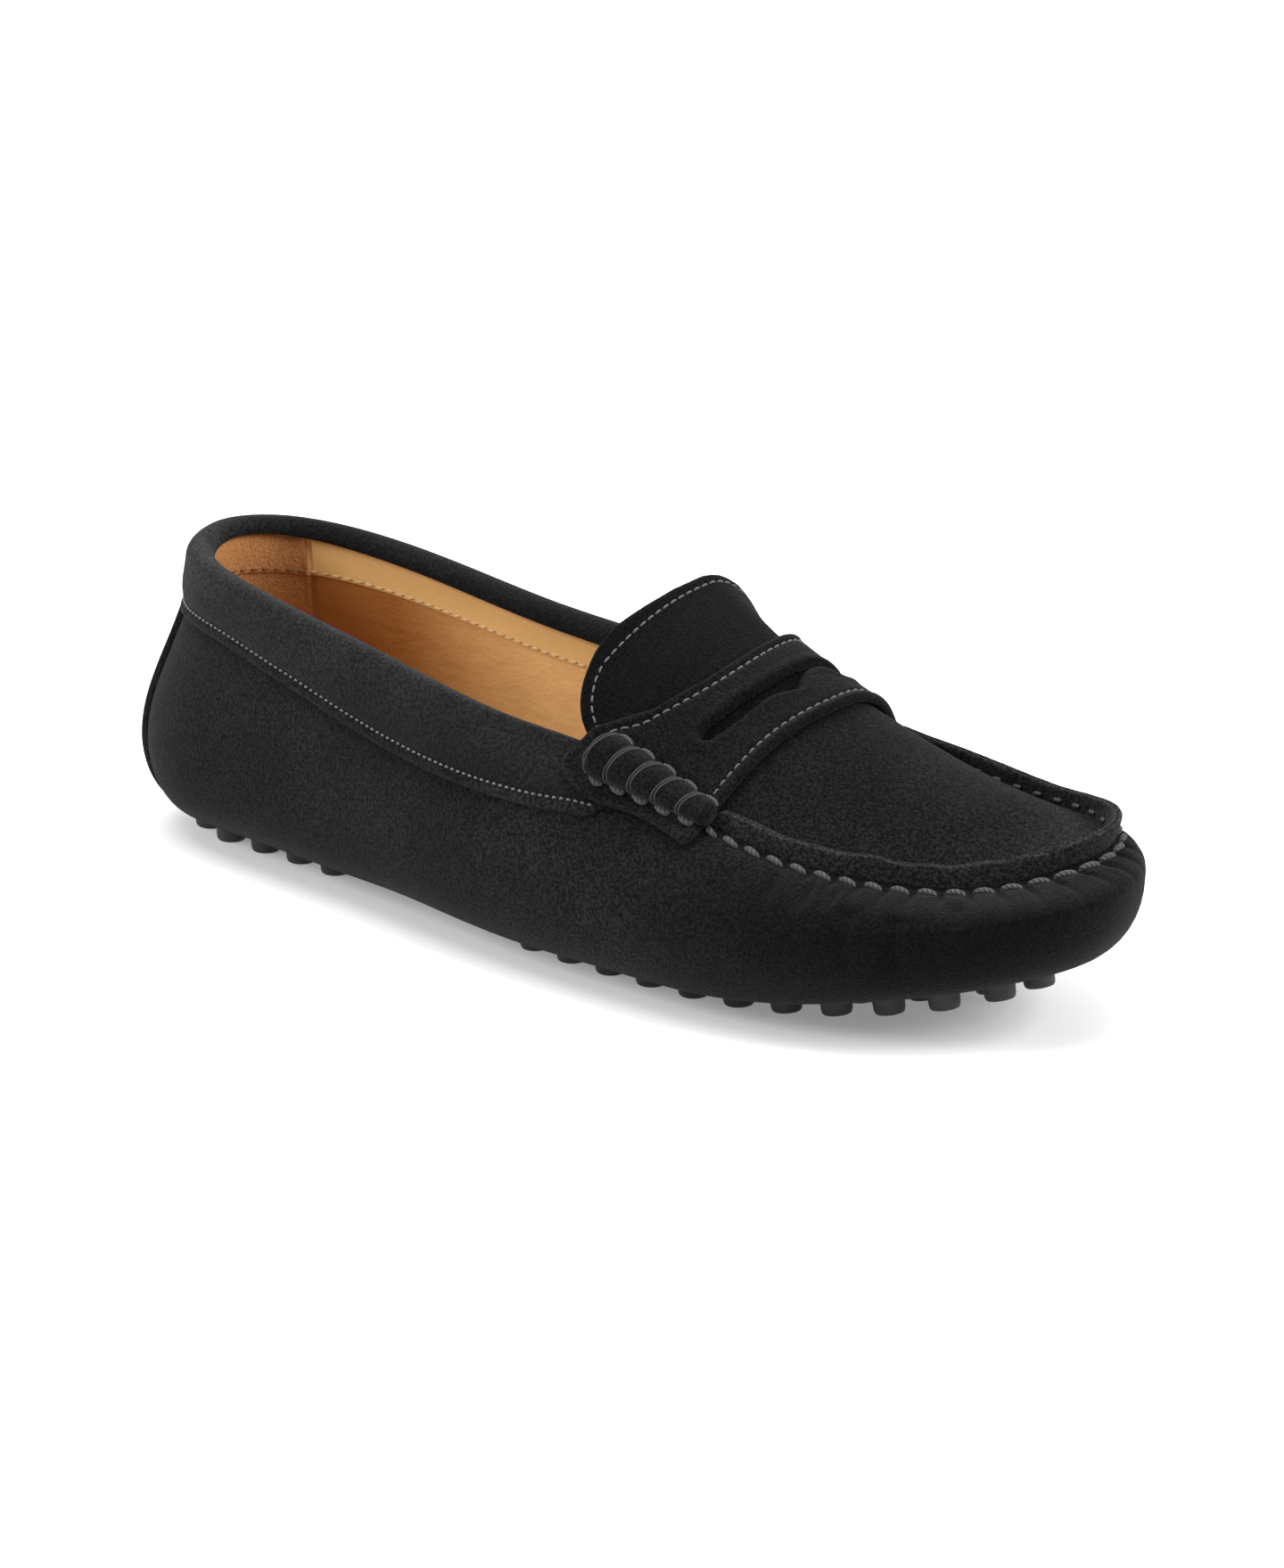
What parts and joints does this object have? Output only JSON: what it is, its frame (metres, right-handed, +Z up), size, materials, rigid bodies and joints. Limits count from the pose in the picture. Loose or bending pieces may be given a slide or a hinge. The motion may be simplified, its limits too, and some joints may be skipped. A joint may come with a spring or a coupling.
{
  "type": "driving moccasin",
  "caption": "Right-foot penny driving moccasin: hollow suede upper with a plugged apron, slotted saddle strap and padded collar, on a pebbled rubber sole.",
  "frame": {"origin": "on the floor, at the middle of the shoe's footprint", "axes": "+X to the toe, +Y to the inner side of the right foot, +Z up"},
  "size_m": [0.2526, 0.0854, 0.0732],
  "materials": {
    "upper_suede": "black suede nap",
    "sole_rubber": "matte black",
    "insole_leather": "tan, smooth",
    "apron_suede": "black suede nap",
    "strap_suede": "black suede nap",
    "collar_suede": "black suede nap",
    "heel_tab_suede": "black suede nap",
    "roll_outer_suede": "black suede nap",
    "roll_inner_suede": "black suede nap"
  },
  "bodies": {
    "root": {"upper": "upper_suede", "sole": "sole_rubber", "insole": "insole_leather", "apron_tongue": "apron_suede", "saddle_strap": "strap_suede", "collar_band": "collar_suede", "heel_tab": "heel_tab_suede", "roll_outer": "roll_outer_suede", "roll_inner": "roll_inner_suede"}
  },
  "joints": []
}
